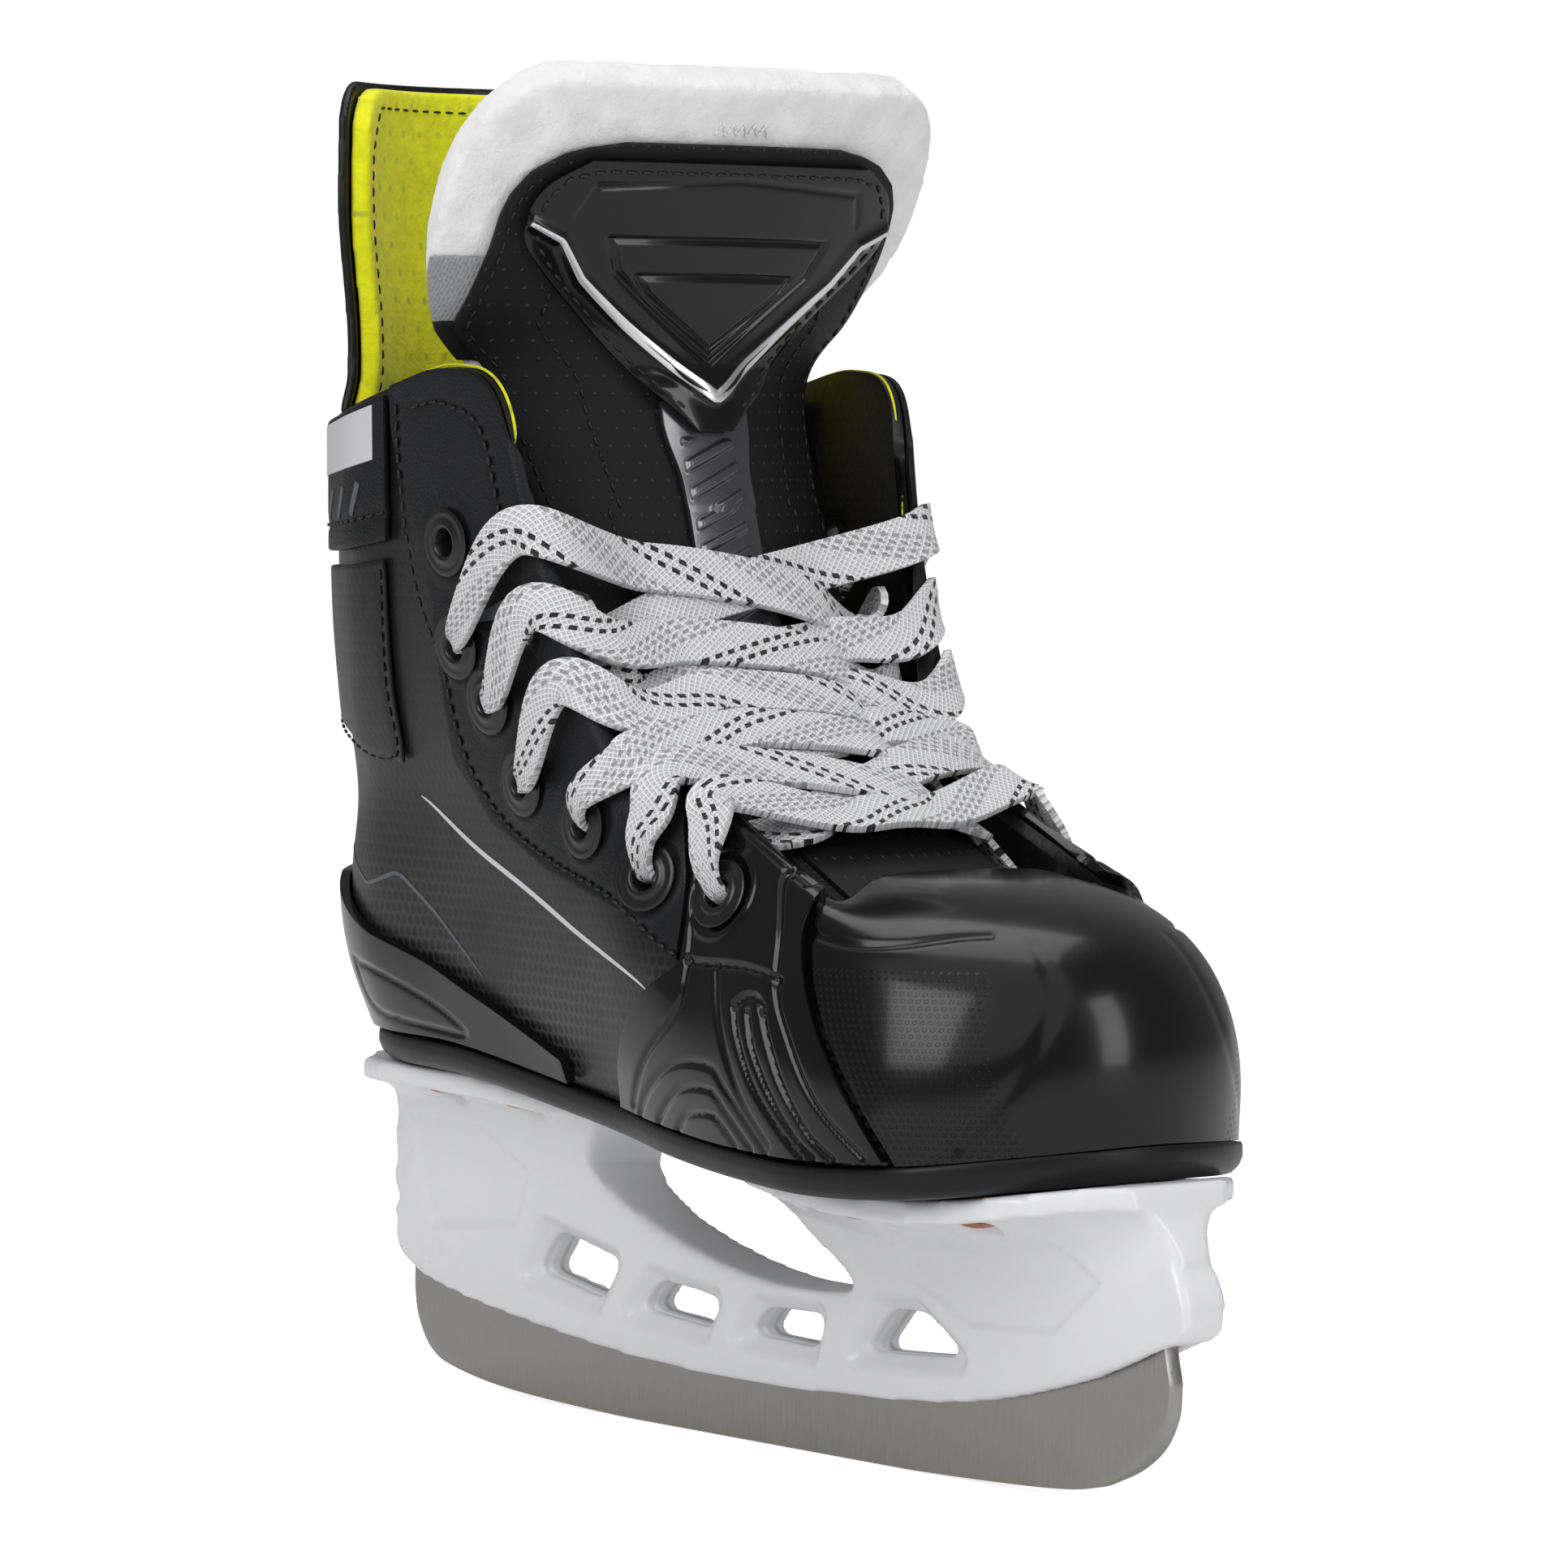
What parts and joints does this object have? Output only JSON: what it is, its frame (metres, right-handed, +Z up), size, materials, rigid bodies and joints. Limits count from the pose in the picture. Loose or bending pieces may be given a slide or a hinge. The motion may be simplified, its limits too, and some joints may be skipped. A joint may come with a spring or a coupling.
{
  "type": "ice hockey skate",
  "caption": "Laced ice hockey skate boot with a moulded blade holder, a steel runner, a padded tongue that flexes forward and a tendon guard that flexes back.",
  "frame": {"origin": "middle of the runner's edge, where the blade stands on the ice", "axes": "+X towards the toe, +Y towards the inner side of the foot, +Z up"},
  "size_m": [0.2275, 0.107, 0.246],
  "materials": {
    "steel": "brushed",
    "white_plastic": "glossy",
    "copper": "satin",
    "sole_plastic": "satin",
    "board": "matte",
    "footbed_foam": "matte",
    "quarter_skin": "satin",
    "facing_leather": "grained",
    "gloss_black": "glossy",
    "lining": "brushed felt",
    "silver_label": "satin",
    "eyelet_metal": "satin",
    "yellow_felt": "felt",
    "white_felt": "felt",
    "tongue_fabric": "perforated",
    "lace_cotton": "woven"
  },
  "bodies": {
    "boot": {"ankle_liner": "lining", "ankle_panel_lateral": "facing_leather", "ankle_panel_medial": "facing_leather", "collar_edge": "silver_label", "eyelet_lateral_1": "eyelet_metal", "eyelet_lateral_2": "eyelet_metal", "eyelet_lateral_3": "eyelet_metal", "eyelet_lateral_4": "eyelet_metal", "eyelet_lateral_5": "eyelet_metal", "eyelet_lateral_6": "eyelet_metal", "eyelet_lateral_7": "eyelet_metal", "eyelet_medial_1": "eyelet_metal", "eyelet_medial_2": "eyelet_metal", "eyelet_medial_3": "eyelet_metal", "eyelet_medial_4": "eyelet_metal", "eyelet_medial_5": "eyelet_metal", "eyelet_medial_6": "eyelet_metal", "eyelet_medial_7": "eyelet_metal", "eyestay_lateral": "facing_leather", "eyestay_medial": "facing_leather", "footbed": "footbed_foam", "heel_counter": "gloss_black", "holder": "white_plastic", "insole_board": "board", "lace": "lace_cotton", "outsole": "sole_plastic", "quarter_lateral": "quarter_skin", "quarter_medial": "quarter_skin", "rivet_front_1": "copper", "rivet_front_2": "copper", "rivet_front_3": "copper", "rivet_front_4": "copper", "rivet_front_5": "copper", "rivet_front_6": "copper", "rivet_rear_1": "copper", "rivet_rear_2": "copper", "rivet_rear_3": "copper", "rivet_rear_4": "copper", "runner": "steel", "toe_cap": "gloss_black", "toe_lining": "lining", "tongue_lower": "tongue_fabric", "vamp_overlay_lateral": "gloss_black", "vamp_overlay_medial": "gloss_black"},
    "tongue_top": {"tongue_cover": "tongue_fabric", "tongue_felt": "white_felt", "tongue_shield": "gloss_black", "tongue_spine": "gloss_black"},
    "tendon_guard": {"tendon_guard_pad": "yellow_felt", "tendon_guard_shell": "facing_leather"}
  },
  "joints": [
    {"name": "tongue_flex", "type": "hinge", "parent": "boot", "child": "tongue_top", "pos_m": [-0.0155, 0, 0.167], "axis": [0, 1, 0], "range_deg": [0, 28], "stiffness_Nm_per_rad": 0.4},
    {"name": "tendon_guard_flex", "type": "hinge", "parent": "boot", "child": "tendon_guard", "pos_m": [-0.1028, 0, 0.1825], "axis": [0, -1, 0], "range_deg": [0, 25], "stiffness_Nm_per_rad": 1.5}
  ]
}
